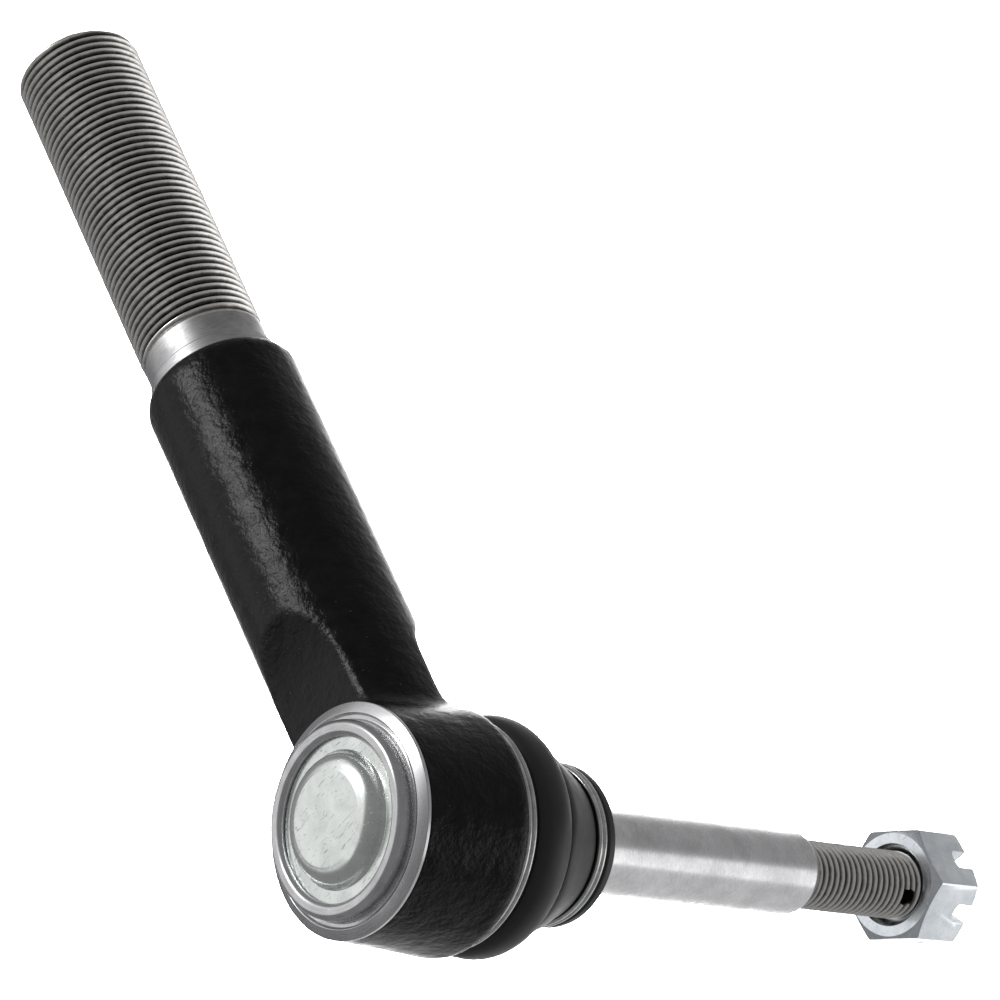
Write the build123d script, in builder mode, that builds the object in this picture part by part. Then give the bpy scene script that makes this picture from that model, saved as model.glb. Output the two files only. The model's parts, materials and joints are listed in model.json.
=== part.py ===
from build123d import *
import os
from math import cos, radians, sin, sqrt, tan

# Tie rod end with a threaded shank and a straight ball stud.
# Origin: centre of the ball. +X runs out along the threaded shank, +Z points
# from the ball to the pressed-in cover, and the stud hangs down, towards -Z.
# Millimetres and degrees.

# ---- driving dimensions ----------------------------------------------------

# how the stud stands at rest
rest_heading = 45.0        # which way it leans, turned about +Z from +X
rest_swing = 6.3           # how far it leans from straight down
max_swing = 22.0           # half angle of the cone that the stud can reach

# threaded shank and arm
shank_end_x = 171.5        # free end of the shank
shank_thread_r = 11.0      # M22 x 1.5
shank_thread_start_x = 104.5
shank_chamfer = 1.6
collar_r = 10.8            # plain shank before the thread
step_r = 11.4              # machined step against the forging
step_x = 99.3
arm_r = 13.5
arm_end_x = 97.0
arm_end_round = 2.4
cover_flat_z = arm_r - 3.2 # forged flat on the cover side of the arm
cover_flat_x = 27.0        # where that flat starts to run out into the round arm
cover_flat_run_r = 36.0
stud_flat_x = 27.0
stud_flat_run_r = 12.0
arm_blend_r = 7.0          # fillet between the arm and the head

# ball and bearing bore: the head is built outwards from these
ball_r = 12.5
ball_clearance = 0.05
seat_wall = 2.0
seat_clearance = 0.05      # seats turn freely in the bearing bore
seat_gap = 0.5             # each seat stops this far from the ball's equator
bearing_bore_r = ball_r + seat_wall
floor_z = -0.64 * ball_r   # ledge that the stud-side seat rests on
cover_seat_top_z = ball_r + 0.5
grease_pocket_r = 5.0

# cover
cover_thickness = 1.6
cover_clearance = 0.05
cover_top_z = cover_seat_top_z + 4.3    # flat annulus of the cover
cover_r = bearing_bore_r + 0.8
dome_r = cover_r - 4.1
dome_height = 3.0

# head of the housing
rim_r = bearing_bore_r + 4.8
rim_z = cover_top_z - 2.0
rim_groove_z = rim_z + 0.5
lip_top_z = cover_top_z + 1.3
lip_outer_r = cover_r + 1.0
lip_inner_r = cover_r - 1.7
head_r = bearing_bore_r + 6.3
head_bottom_z = floor_z - 3.0
boot_groove_r = bearing_bore_r + 2.7
boot_flange_r = boot_groove_r + 0.7
boot_groove_top_z = floor_z + 1.6
boot_groove_bottom_z = head_bottom_z + 1.6
head_waist_z = boot_groove_top_z + 1.4  # the head widens down to here, below the arm
stud_flat_z = head_waist_z + 0.8        # forged flat on the stud side of the arm

# ball stud
stud_r = 7.25
seal_land_r = stud_r + 0.4 # ground land that the boot's lip seals on
neck_r = stud_r - 0.95
neck_end = ball_r + 3.5    # distances along the stud are from the ball centre
stud_start = neck_end + 4.0
stud_shoulder = 93.2
stud_thread_start = 95.2
stud_thread_r = 6.0        # M12 x 1.5
stud_end = 130.0
stud_chamfer = 1.2
pin_hole_r = 1.6
pin_hole_at = stud_end - 9.2
pin_hole_turn = 17.0       # turn of the hole about the stud from its heading

# castle nut, started on the end of the stud
nut_face = stud_end - 7.7  # inboard face
nut_height = 12.0
nut_flats = 2 * stud_thread_r + 7.0
nut_turn = 50.4            # turn of the first corner about the stud
nut_clearance = 0.06       # on the stud's radius
nut_sink_r = stud_thread_r + 1.3  # countersink of the inboard face
nut_bevel = 30.0
slot_width = 3.5
slot_depth = 4.6

# dust boot and its two wire rings
boot_wall = 1.5
boot_seal_clearance = 0.05
boot_fit = 0.05            # between the boot, the groove and the rings
bend_from = -head_bottom_z # the boot is straight up to here
bend_length = 17.0         # and follows the stud beyond this
boot_length = 21.9         # from the head's bottom face to the end of the lip
ring_wire_r = 0.5
ring_turn_pitch = 1.05
boot_bead_r = boot_flange_r + 0.3
boot_neck_r = seal_land_r + 5.25
bend_to = bend_from + bend_length
boot_lip_end = bend_from + boot_length
large_ring_at = (-boot_groove_top_z - boot_groove_bottom_z) / 2 - 0.4
small_ring_at = boot_lip_end - 3.2

# outside of the boot: distance beyond the head's bottom face, radius
boot_convolutions = [
    (-1.8, boot_bead_r),
    (-1.2, boot_bead_r + 0.7),
    (-0.2, boot_bead_r + 1.4),
    (1.8, boot_bead_r + 1.9),
    (3.6, boot_bead_r + 1.5),
    (5.0, boot_bead_r + 0.5),
    (6.0, boot_bead_r - 0.9),
    (6.4, boot_neck_r + 3.4),
    (7.2, boot_neck_r + 3.9),
    (8.1, boot_neck_r + 4.15),
    (9.4, boot_neck_r + 3.7),
    (13.0, boot_neck_r + 2.3),
    (16.8, boot_neck_r + 0.85),
    (17.6, boot_neck_r),
]

os.makedirs("parts", exist_ok=True)


def save(builder, name):
    """Label one finished piece and write it as its own STEP file."""
    builder.part.label = name
    export_step(builder.part, "parts/" + name + ".step")


# ---- placement helpers -----------------------------------------------------

heading = Vector(cos(radians(rest_heading)), sin(radians(rest_heading)), 0)
side = Vector(-heading.Y, heading.X, 0)


def lean(swing):
    """Unit vector of a stud that leans by this many degrees at rest_heading."""
    return heading * sin(radians(swing)) + Vector(0, 0, -cos(radians(swing)))


stud_dir = lean(rest_swing)
stud_axis = Axis((0, 0, 0), tuple(stud_dir))
# profile plane: local X is the distance from the stud's axis, local Y runs along it
stud_radial = heading * cos(radians(rest_swing)) + Vector(0, 0, sin(radians(rest_swing)))
stud_plane = Plane((0, 0, 0), x_dir=tuple(stud_radial), z_dir=tuple(stud_radial.cross(stud_dir)))


def across_stud(distance):
    """Plane square to the stud, this far from the ball centre."""
    return Plane(tuple(stud_dir * distance), x_dir=tuple(stud_radial), z_dir=tuple(stud_dir))


def boot_plane(distance):
    """Plane square to the bent boot's own middle line."""
    share = (distance - bend_from) / (bend_to - bend_from)
    share = min(1.0, max(0.0, share))
    direction = lean(rest_swing * share * share * (3 - 2 * share))
    return Plane(tuple(direction * distance), x_dir=tuple(side), z_dir=tuple(direction))


def throat_r(z):
    """Radius at this height that clears the neck, leaning as far as it goes."""
    return -z * tan(radians(max_swing)) + neck_r / cos(radians(max_swing)) + 0.6


# ---- housing: one forging with its head, arm and threaded shank -------------

cover_seat_z = cover_top_z - cover_thickness
cover_bore_r = cover_r + cover_clearance
lip_mid_r = (lip_inner_r + lip_outer_r) / 2

with BuildPart() as housing:
    # arm, with a forged flat on either side that runs out into the round
    with BuildSketch(Plane.YZ):
        Circle(arm_r)
    extrude(amount=arm_end_x)
    fillet(housing.edges().sort_by(Axis.X)[-1], arm_end_round)

    cover_run = sqrt(2 * cover_flat_run_r * (arm_r - cover_flat_z) - (arm_r - cover_flat_z) ** 2)
    with BuildSketch(Plane.XZ):
        with BuildLine():
            tip = (cover_flat_x + cover_run, arm_r)
            Polyline(tip, (tip[0], arm_r + 2), (-arm_r - 2, arm_r + 2), (-arm_r - 2, cover_flat_z),
                     (cover_flat_x, cover_flat_z))
            RadiusArc((cover_flat_x, cover_flat_z), tip, -cover_flat_run_r)
        make_face()
    extrude(amount=arm_r + 2, both=True, mode=Mode.SUBTRACT)

    stud_flat_drop = arm_r + stud_flat_z
    stud_run = sqrt(2 * stud_flat_run_r * stud_flat_drop - stud_flat_drop ** 2)
    with BuildSketch(Plane.XZ):
        with BuildLine():
            tip = (stud_flat_x + stud_run, -arm_r)
            Polyline(tip, (tip[0], -arm_r - 2), (-arm_r - 2, -arm_r - 2), (-arm_r - 2, stud_flat_z),
                     (stud_flat_x, stud_flat_z))
            RadiusArc((stud_flat_x, stud_flat_z), tip, stud_flat_run_r)
        make_face()
    extrude(amount=arm_r + 2, both=True, mode=Mode.SUBTRACT)

    # head: widens downwards, then the groove that takes the boot's bead
    with BuildSketch(Plane.XZ):
        with BuildLine():
            Polyline(
                (0, head_bottom_z),
                (boot_flange_r, head_bottom_z),
                (boot_flange_r, boot_groove_bottom_z),
                (boot_groove_r, boot_groove_bottom_z),
                (boot_groove_r, boot_groove_top_z),
                (rim_r, boot_groove_top_z),
                (head_r, head_waist_z),
                (rim_r, rim_z),
                (0, rim_z),
                close=True,
            )
        make_face()
    revolve(axis=Axis.Z)
    joint_edges = [
        edge for edge in housing.edges().filter_by(GeomType.BSPLINE)
        if 0 < edge.center().X < head_r
    ]
    fillet(joint_edges, arm_blend_r)

    # machined rim, its shallow groove and the lip rolled over the cover
    with BuildSketch(Plane.XZ):
        with BuildLine():
            Polyline(
                (lip_inner_r, cover_top_z + cover_clearance),
                (cover_bore_r, cover_top_z + cover_clearance),
                (cover_bore_r, rim_z - 1),
                (rim_r - 1, rim_z - 1),
                (rim_r, rim_z),
                (rim_r - 1.7, rim_z + 0.8),
                (rim_r - 1.9, rim_groove_z),
                (lip_outer_r, rim_groove_z),
                (lip_outer_r, cover_top_z),
            )
            ThreePointArc((lip_outer_r, cover_top_z), (lip_mid_r + 0.2, lip_top_z),
                          (lip_inner_r, cover_top_z + 0.4))
            Line((lip_inner_r, cover_top_z + 0.4), (lip_inner_r, cover_top_z + cover_clearance))
        make_face()
    revolve(axis=Axis.Z)

    # bearing bore, cover seat and the throat that the stud swings in
    with BuildSketch(Plane.XZ):
        with BuildLine():
            Polyline(
                (0, head_bottom_z - 1),
                (throat_r(head_bottom_z - 1), head_bottom_z - 1),
                (throat_r(floor_z), floor_z),
                (bearing_bore_r, floor_z),
                (bearing_bore_r, cover_seat_z),
                (cover_bore_r, cover_seat_z),
                (cover_bore_r, cover_top_z),
                (0, cover_top_z),
                close=True,
            )
        make_face()
    revolve(axis=Axis.Z, mode=Mode.SUBTRACT)

    # machined step, plain shank and thread (stated by its outside diameter)
    for start_x, end_x, radius in [
        (arm_end_x - 1, step_x, step_r),
        (step_x - 1, shank_thread_start_x, collar_r),
        (shank_thread_start_x, shank_end_x, shank_thread_r),
    ]:
        with BuildSketch(Plane.YZ.offset(start_x)):
            Circle(radius)
        extrude(amount=end_x - start_x)
    chamfer(housing.edges().sort_by(Axis.X)[-1], shank_chamfer)
save(housing, "housing")

# ---- ball seats ------------------------------------------------------------

seat_r = bearing_bore_r - seat_clearance
socket_r = ball_r + ball_clearance


def socket_r_at(z):
    """Radius of the spherical socket at this height."""
    return sqrt(socket_r ** 2 - z ** 2)


def socket_arc(start, end):
    """Arc round the ball's centre between two points of a seat's section."""
    middle = Vector(start[0] + end[0], start[1] + end[1], 0).normalized() * socket_r
    return ThreePointArc(start, (middle.X, middle.Y), end)


seat_bottom_z = floor_z + seat_clearance
relief_z = seat_bottom_z + 1.1
with BuildPart() as stud_side_seat:
    with BuildSketch(Plane.XZ):
        with BuildLine():
            Polyline(
                (socket_r_at(seat_gap), -seat_gap),
                (seat_r, -seat_gap),
                (seat_r, seat_bottom_z),
                (socket_r_at(relief_z) + 0.3, seat_bottom_z),
                (socket_r_at(relief_z), relief_z),
            )
            socket_arc((socket_r_at(relief_z), relief_z), (socket_r_at(seat_gap), -seat_gap))
        make_face()
    revolve(axis=Axis.Z)
save(stud_side_seat, "stud_side_seat")

with BuildPart() as cover_side_seat:
    pocket_z = sqrt(socket_r ** 2 - grease_pocket_r ** 2)
    with BuildSketch(Plane.XZ):
        with BuildLine():
            Polyline(
                (socket_r_at(seat_gap), seat_gap),
                (seat_r, seat_gap),
                (seat_r, cover_seat_top_z - 2),
                (seat_r - 2, cover_seat_top_z),
                (grease_pocket_r, cover_seat_top_z),
                (grease_pocket_r, pocket_z),
            )
            socket_arc((grease_pocket_r, pocket_z), (socket_r_at(seat_gap), seat_gap))
        make_face()
    revolve(axis=Axis.Z)
save(cover_side_seat, "cover_side_seat")

# ---- preload spring: a coned disc between the seat and the cover -------------

spring_bottom_z = cover_seat_top_z + seat_clearance
spring_rise = cover_seat_z - spring_bottom_z
spring_thickness = 0.9
spring_outer_r = cover_r - 2.2
spring_inner_r = grease_pocket_r + 1.5
with BuildPart() as preload_spring:
    with BuildSketch(Plane.XZ):
        with BuildLine():
            Polyline(
                (spring_inner_r, spring_bottom_z),
                (spring_inner_r + 0.3, spring_bottom_z),
                (spring_outer_r, cover_seat_z - spring_thickness),
                (spring_outer_r, cover_seat_z),
                (spring_outer_r - 0.3, cover_seat_z),
                (spring_inner_r, spring_bottom_z + spring_thickness),
                close=True,
            )
        make_face()
    revolve(axis=Axis.Z)
save(preload_spring, "preload_spring")

# ---- cover: pressed plate with a raised round dome ---------------------------

dome_top_z = cover_top_z + dome_height
dome_flat_r = dome_r - 4.7
with BuildPart() as cover_plate:
    with BuildSketch(Plane.XZ):
        with BuildLine():
            Polyline((0, dome_top_z), (0, dome_top_z - cover_thickness),
                     (dome_flat_r - 0.6, dome_top_z - cover_thickness))
            ThreePointArc(
                (dome_flat_r - 0.6, dome_top_z - cover_thickness),
                (dome_r - 2.6, cover_top_z + 0.6),
                (dome_r - cover_thickness, cover_seat_z),
            )
            Polyline((dome_r - cover_thickness, cover_seat_z), (cover_r, cover_seat_z),
                     (cover_r, cover_top_z), (dome_r, cover_top_z))
            ThreePointArc((dome_r, cover_top_z), (dome_r - 1.1, dome_top_z - 1.1), (dome_flat_r, dome_top_z))
            Line((dome_flat_r, dome_top_z), (0, dome_top_z))
        make_face()
    revolve(axis=Axis.Z)
save(cover_plate, "cover_plate")

# ---- ball stud -------------------------------------------------------------

neck_reach = sqrt(ball_r ** 2 - neck_r ** 2)
seal_land_end = boot_lip_end + 0.3
with BuildPart() as ball_stud:
    with BuildSketch(stud_plane):
        with BuildLine():
            ThreePointArc((0, -ball_r), (ball_r, 0), (neck_r, neck_reach))
            Polyline(
                (neck_r, neck_reach),
                (neck_r, neck_end),
                (seal_land_r, stud_start),
                (seal_land_r, seal_land_end),
                (stud_r, seal_land_end),
                (stud_r, stud_shoulder),
            )
            ThreePointArc(
                (stud_r, stud_shoulder),
                (stud_r - 0.28 * (stud_r - stud_thread_r), stud_shoulder + 1.2),
                (stud_thread_r, stud_thread_start),
            )
            Polyline(
                (stud_thread_r, stud_thread_start),
                (stud_thread_r, stud_end - stud_chamfer),
                (stud_thread_r - stud_chamfer, stud_end),
                (0, stud_end),
                (0, -ball_r),
            )
        make_face()
    revolve(axis=stud_axis)
    hole_plane = across_stud(pin_hole_at).rotated((0, 0, pin_hole_turn))
    hole_start = Plane(hole_plane.origin, x_dir=hole_plane.z_dir, z_dir=hole_plane.x_dir)
    with BuildSketch(hole_start):
        Circle(pin_hole_r)
    extrude(amount=stud_thread_r + 1, both=True, mode=Mode.SUBTRACT)
save(ball_stud, "ball_stud")

# ---- castle nut ------------------------------------------------------------

nut_corner_r = nut_flats / 2 / cos(radians(30))
nut_bore_r = stud_thread_r + nut_clearance
bevel_drop = (nut_corner_r - nut_flats / 2) * tan(radians(nut_bevel)) + 0.3

with BuildPart() as castle_nut:
    with BuildSketch(across_stud(nut_face)):
        RegularPolygon(nut_corner_r, 6, rotation=nut_turn)
        Circle(nut_bore_r, mode=Mode.SUBTRACT)
    extrude(amount=nut_height)
    # bevels that take the corners off both ends
    with BuildSketch(stud_plane):
        with BuildLine():
            Polyline(
                (0, nut_face),
                (nut_flats / 2 - 0.4, nut_face),
                (nut_corner_r + 0.2, nut_face + bevel_drop),
                (nut_corner_r + 0.2, nut_face + nut_height - bevel_drop),
                (nut_flats / 2 - 0.4, nut_face + nut_height),
                (0, nut_face + nut_height),
                close=True,
            )
        make_face()
    revolve(axis=stud_axis, mode=Mode.INTERSECT)
    # countersink of the inboard face
    sink_depth = nut_sink_r - nut_bore_r
    with BuildSketch(stud_plane):
        with BuildLine():
            Polyline((0, nut_face - 1), (nut_sink_r + 1, nut_face - 1), (nut_bore_r, nut_face + sink_depth),
                     (0, nut_face + sink_depth), close=True)
        make_face()
    revolve(axis=stud_axis, mode=Mode.SUBTRACT)
    # six slots, cut as three that run right across
    slot_plane = across_stud(nut_face + nut_height - slot_depth)
    for turn in (0, 60, 120):
        with BuildSketch(slot_plane):
            Rectangle(2 * nut_corner_r + 2, slot_width, rotation=nut_turn + 30 + turn)
        extrude(amount=slot_depth + 1, mode=Mode.SUBTRACT)
save(castle_nut, "castle_nut")

# ---- wire rings, each two close turns ----------------------------------------


def wire_ring(plane, middle_r, at):
    """Cut a two-turn ring's section: two round wires that touch, joined by a web."""
    with BuildPart() as ring:
        with BuildSketch(plane):
            for place in (at - ring_turn_pitch / 2, at + ring_turn_pitch / 2):
                with Locations((middle_r, place)):
                    Circle(ring_wire_r)
            with Locations((middle_r, at)):
                Rectangle(ring_wire_r, ring_turn_pitch)
        revolve(axis=Axis(plane.origin, plane.y_dir))
    return ring


down_plane = Plane((0, 0, 0), x_dir=tuple(heading), z_dir=tuple(heading.cross(Vector(0, 0, -1))))
large_ring_r = boot_bead_r + boot_fit + ring_wire_r
boot_ring_large = wire_ring(down_plane, large_ring_r, large_ring_at)
save(boot_ring_large, "boot_ring_large")

small_ring_r = boot_neck_r + boot_fit + ring_wire_r
boot_ring_small = wire_ring(stud_plane, small_ring_r, small_ring_at)
save(boot_ring_small, "boot_ring_small")

# ---- dust boot: two convolutions, bent to follow the stud --------------------

bead_start = -boot_groove_top_z + boot_fit
seal_r = seal_land_r + boot_seal_clearance
neck_start = bend_from + boot_convolutions[-1][0]
outside = [(bead_start, boot_bead_r)]
for place, radius in boot_convolutions:
    outside.append((bend_from + place, radius))
outside.append((small_ring_at + ring_wire_r + 0.8, boot_neck_r))
outside.append((small_ring_at + ring_wire_r + 1.1, boot_neck_r + 0.8))
outside.append((boot_lip_end - 0.4, boot_neck_r + 0.8))
outside.append((boot_lip_end, boot_neck_r + 0.4))
bead_end = outside[1][0]
inside = [
    (bead_start, boot_groove_r + boot_fit),
    (bead_end, boot_groove_r + boot_fit),
    (bead_end + 0.15, boot_flange_r + boot_fit),
]
for place, radius in boot_convolutions[2:-1]:
    inside.append((bend_from + place, radius - boot_wall))
inside.append((neck_start - 0.2, seal_r + 2.5))
inside.append((neck_start + 0.6, seal_r))
inside.append((boot_lip_end, seal_r))

with BuildPart() as dust_boot:
    for place, radius in outside:
        with BuildSketch(boot_plane(place)):
            Circle(radius)
    loft(ruled=True)
with BuildPart() as boot_hollow:
    for place, radius in inside:
        with BuildSketch(boot_plane(place)):
            Circle(radius)
    loft(ruled=True)
with BuildPart() as dust_boot_shell:
    add(dust_boot.part)
    add(boot_hollow.part, mode=Mode.SUBTRACT)
save(dust_boot_shell, "dust_boot")
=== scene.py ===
"""Visual model of a tie rod end: forged arm, sealed ball joint, straight stud and castle nut.

The CAD frame gives every place. Turned pieces are made about one of three axes: the
head's (straight up), the shank's (along +X) and the stud's (leaning, from the joint).
"""
import json
import logging
import math
from dataclasses import dataclass
from enum import Enum
from typing import Optional, Sequence

import bmesh
import bpy
import numpy as np
from mathutils import Matrix, Vector, noise

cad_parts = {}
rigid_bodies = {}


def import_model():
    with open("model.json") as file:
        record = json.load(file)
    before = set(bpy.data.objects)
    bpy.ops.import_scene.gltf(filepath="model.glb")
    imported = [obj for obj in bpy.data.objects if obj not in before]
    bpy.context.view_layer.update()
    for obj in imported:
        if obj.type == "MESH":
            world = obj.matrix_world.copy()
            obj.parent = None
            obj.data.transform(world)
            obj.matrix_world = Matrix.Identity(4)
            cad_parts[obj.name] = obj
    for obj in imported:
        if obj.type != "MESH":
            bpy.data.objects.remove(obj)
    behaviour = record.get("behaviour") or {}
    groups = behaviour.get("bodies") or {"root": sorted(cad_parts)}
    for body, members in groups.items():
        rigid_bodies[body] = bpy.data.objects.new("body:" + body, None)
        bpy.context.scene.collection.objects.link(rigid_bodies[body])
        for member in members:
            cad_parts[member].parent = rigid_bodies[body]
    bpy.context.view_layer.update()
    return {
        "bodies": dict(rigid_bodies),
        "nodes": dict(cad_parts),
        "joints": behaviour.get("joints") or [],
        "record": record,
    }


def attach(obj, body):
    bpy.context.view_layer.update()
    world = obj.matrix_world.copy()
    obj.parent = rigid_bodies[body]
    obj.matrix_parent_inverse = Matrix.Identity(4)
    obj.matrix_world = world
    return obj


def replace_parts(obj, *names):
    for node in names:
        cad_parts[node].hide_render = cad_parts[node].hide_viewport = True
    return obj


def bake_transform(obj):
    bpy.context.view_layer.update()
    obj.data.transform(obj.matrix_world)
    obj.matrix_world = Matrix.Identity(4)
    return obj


logging.basicConfig(level=logging.INFO, format="%(message)s")
LOG = logging.getLogger("tie_rod_end")

MM = 0.001
TURNED_SEGMENTS = 144

Point = tuple[float, float]
Socket = bpy.types.NodeSocket
Corner = tuple[float, float, float]


# ---- places and outlines ----------------------------------------------------


WORKBENCH = Matrix.Identity(4)  # where a piece is cut in its own millimetres, before it is placed


@dataclass(frozen=True)
class Place:
    """An axis that pieces are made about: local z runs along it, local x across it."""

    along: Vector
    across: Vector

    def matrix(self) -> Matrix:
        """Matrix from local millimetres to the frame's metres.

        Returns:
            The matrix.
        """
        z = self.along.normalized()
        x = (self.across - z * self.across.dot(z)).normalized()
        turn = Matrix((x, z.cross(x), z)).transposed().to_4x4()
        return turn @ Matrix.Scale(MM, 4)

    def pattern_turn(self) -> tuple[float, float, float]:
        """Euler angles that turn frame coordinates into this place's own."""
        return tuple(self.matrix().to_3x3().normalized().transposed().to_euler())


def rounded(corners: Sequence[Corner], closed: bool = True, steps: int = 7) -> list[Point]:
    """Replaces each corner of an outline by an arc.

    Args:
        corners: Radius from the axis, height and rounding, in millimetres.
        closed: Whether the outline returns to its first corner.
        steps: Points on each arc.

    Returns:
        The outline's points.
    """
    count = len(corners)
    outline: list[Point] = []
    for index, (r, z, size) in enumerate(corners):
        here = np.array((r, z))
        ends = (index == 0 or index == count - 1) and not closed
        if size <= 0 or ends:
            outline.append((r, z))
            continue
        before = np.array(corners[index - 1][:2]) - here
        after = np.array(corners[(index + 1) % count][:2]) - here
        long_before, long_after = np.linalg.norm(before), np.linalg.norm(after)
        before, after = before / long_before, after / long_after
        half = math.acos(float(np.clip(before @ after, -1, 1))) / 2
        if half > math.radians(88):
            outline.append((r, z))
            continue
        reach = min(size / math.tan(half), 0.49 * long_before, 0.49 * long_after)
        radius = reach * math.tan(half)
        middle = here + (before + after) / np.linalg.norm(before + after) * radius / math.sin(half)
        first, last = here + before * reach - middle, here + after * reach - middle
        span = math.atan2(first[0] * last[1] - first[1] * last[0], first @ last)
        for step in range(steps + 1):
            turn = span * step / steps
            c, s = math.cos(turn), math.sin(turn)
            outline.append((middle[0] + first[0] * c - first[1] * s,
                            middle[1] + first[0] * s + first[1] * c))
    return outline


def link(name: str, mesh: bpy.types.Mesh) -> bpy.types.Object:
    """Puts a mesh in the scene as an object of that name.

    Args:
        name: The name that mesh and object get.
        mesh: The mesh.

    Returns:
        The object.
    """
    mesh.name = name
    made = bpy.data.objects.new(name, mesh)
    bpy.context.scene.collection.objects.link(made)
    return made


def solid(name: str, work: bmesh.types.BMesh) -> bpy.types.Object:
    """Turns a worked mesh into an object and frees it.

    Args:
        name: The object's name.
        work: The mesh in work.

    Returns:
        The object.
    """
    mesh = bpy.data.meshes.new(name)
    work.to_mesh(mesh)
    work.free()
    return link(name, mesh)


def tidy_mesh(mesh: bpy.types.Mesh, merge: float = 1e-7, sharp: float = 32.0) -> None:
    """Merges doubles, turns faces outwards and shades smooth apart from sharp edges.

    Args:
        mesh: The mesh, changed in place.
        merge: Distance within which points become one, in metres.
        sharp: Angle in degrees above which an edge stays crisp.
    """
    work = bmesh.new()
    work.from_mesh(mesh)
    bmesh.ops.remove_doubles(work, verts=work.verts, dist=merge)
    bmesh.ops.recalc_face_normals(work, faces=work.faces)
    work.to_mesh(mesh)
    work.free()
    mesh.set_sharp_from_angle(angle=math.radians(sharp))
    mesh.polygons.foreach_set("use_smooth", np.ones(len(mesh.polygons), bool))


def turned(name: str, outline: Sequence[Point], place: Optional[Place], closed: bool = True,
           segments: int = TURNED_SEGMENTS) -> bpy.types.Object:
    """Turns an outline about a place's axis into a closed mesh.

    Args:
        name: The piece's name.
        outline: Radius and height of each point, in millimetres.
        place: The axis, or None to leave the piece in its own millimetres.
        closed: False for an outline that starts and ends on the axis.
        segments: Steps round the axis.

    Returns:
        The piece, in the frame's place.
    """
    angles = np.arange(segments) * 2 * math.pi / segments
    rings, verts = [], []
    for r, z in outline:
        if abs(r) < 1e-6:
            rings.append([len(verts)] * segments)
            verts.append((0.0, 0.0, z))
            continue
        rings.append(list(range(len(verts), len(verts) + segments)))
        verts.extend((r * math.cos(a), r * math.sin(a), z) for a in angles)
    pairs = list(zip(rings, rings[1:] + rings[:1])) if closed else list(zip(rings, rings[1:]))
    faces = []
    for low, high in pairs:
        for k in range(segments):
            n = (k + 1) % segments
            face = []
            for corner in (low[k], low[n], high[n], high[k]):
                if corner not in face:
                    face.append(corner)
            if len(face) > 2:
                faces.append(face)
    mesh = bpy.data.meshes.new(name)
    mesh.from_pydata(verts, [], faces)
    mesh.transform(place.matrix() if place else WORKBENCH)
    tidy_mesh(mesh)
    return link(name, mesh)


def evaluated(piece: bpy.types.Object) -> bpy.types.Mesh:
    """Plain mesh of a piece with its modifiers applied; the modifiers are removed.

    Args:
        piece: The object.

    Returns:
        The mesh, free of modifiers.
    """
    bpy.context.view_layer.update()
    depsgraph = bpy.context.evaluated_depsgraph_get()
    mesh = bpy.data.meshes.new_from_object(piece.evaluated_get(depsgraph), depsgraph=depsgraph)
    piece.modifiers.clear()
    return mesh


def cut(piece: bpy.types.Object, tool: bpy.types.Object, operation: str = "DIFFERENCE") -> None:
    """Cuts a piece with a tool and removes the tool.

    Args:
        piece: The closed piece, changed in place.
        tool: The closed cutting shape.
        operation: Blender's name for what is kept.
    """
    modifier = piece.modifiers.new("cut", "BOOLEAN")
    modifier.operation = operation
    modifier.solver = "MANIFOLD"
    modifier.object = tool
    piece.data = evaluated(piece)
    bpy.data.objects.remove(tool)


# ---- nodes -------------------------------------------------------------------


def linear(hex_colour: str) -> tuple[float, float, float, float]:
    """Linear colour of an sRGB hex value such as "#a0a0a0"."""
    channels = [int(hex_colour[k:k + 2], 16) / 255 for k in (1, 3, 5)]
    return (*[c / 12.92 if c <= 0.04045 else ((c + 0.055) / 1.055) ** 2.4 for c in channels], 1.0)


def node(tree: bpy.types.NodeTree, kind: str, inputs: Optional[dict] = None, **settings) -> bpy.types.Node:
    """Adds one node.

    Args:
        tree: The node tree.
        kind: Blender's type name.
        inputs: Values or output sockets, keyed by input name or number.
        **settings: The node's own properties.

    Returns:
        The node.
    """
    made = tree.nodes.new(kind)
    for key, value in settings.items():
        setattr(made, key, value)
    for key, value in (inputs or {}).items():
        if isinstance(value, Socket):
            tree.links.new(value, made.inputs[key])
        else:
            made.inputs[key].default_value = value
    return made


def ramp(tree: bpy.types.NodeTree, factor: Socket,
         stops: Sequence[tuple[float, tuple[float, float, float, float]]]) -> Socket:
    """Colour ramp over a factor.

    Args:
        tree: The node tree.
        factor: What it is read at, from 0 to 1.
        stops: Each stop's position and linear colour, in order.

    Returns:
        The colour's socket.
    """
    made = node(tree, "ShaderNodeValToRGB", {"Fac": factor})
    elements = made.color_ramp.elements
    while len(elements) < len(stops):
        elements.new(0.5)
    for element, (position, colour) in zip(elements, stops):
        element.position = position
        element.color = colour
    return made.outputs["Color"]


def grey(value: float) -> tuple[float, float, float, float]:
    """A linear grey, for ramps that carry a number."""
    return (value, value, value, 1.0)


# ---- finishes ------------------------------------------------------------------


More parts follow.
